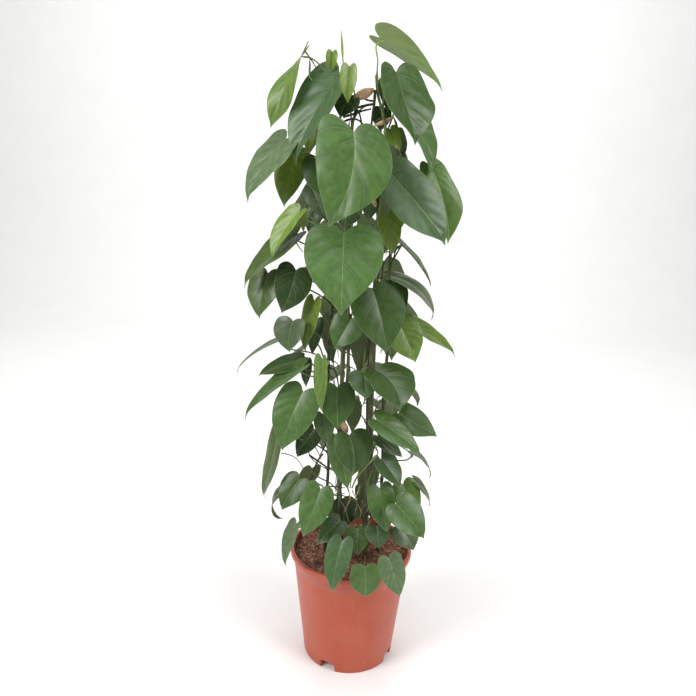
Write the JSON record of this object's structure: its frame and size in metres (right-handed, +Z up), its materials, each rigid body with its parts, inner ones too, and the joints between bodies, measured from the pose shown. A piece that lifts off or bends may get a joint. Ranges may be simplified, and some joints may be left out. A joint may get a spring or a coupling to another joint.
{
  "type": "potted climbing plant",
  "caption": "Tall potted climber with green heart-shaped leaves on thin stems round a slim cane support, in a tapered terracotta-coloured nursery pot with a collar and drain notches.",
  "frame": {"origin": "the middle of the pot's underside, on the floor it stands on", "axes": "+Z up along the pot's and the support's axis, -Y towards the viewer of the picture, +X to the viewer's right"},
  "size_m": [0.415, 0.294, 1.2113],
  "materials": {
    "pot_plastic": "satin",
    "potting_soil": "matte",
    "cane": "satin",
    "hoop_plastic": "matte",
    "leaf_and_stem": "satin"
  },
  "bodies": {
    "root": {"pot": "pot_plastic", "soil": "potting_soil", "cane_1": "cane", "cane_2": "cane", "cane_3": "cane", "cane_4": "cane", "hoop_1": "hoop_plastic", "hoop_2": "hoop_plastic", "hoop_3": "hoop_plastic", "vine_left": "leaf_and_stem", "vine_front_left": "leaf_and_stem", "vine_front_right": "leaf_and_stem", "vine_right": "leaf_and_stem", "vine_back_right": "leaf_and_stem", "vine_back_left": "leaf_and_stem"}
  },
  "joints": []
}
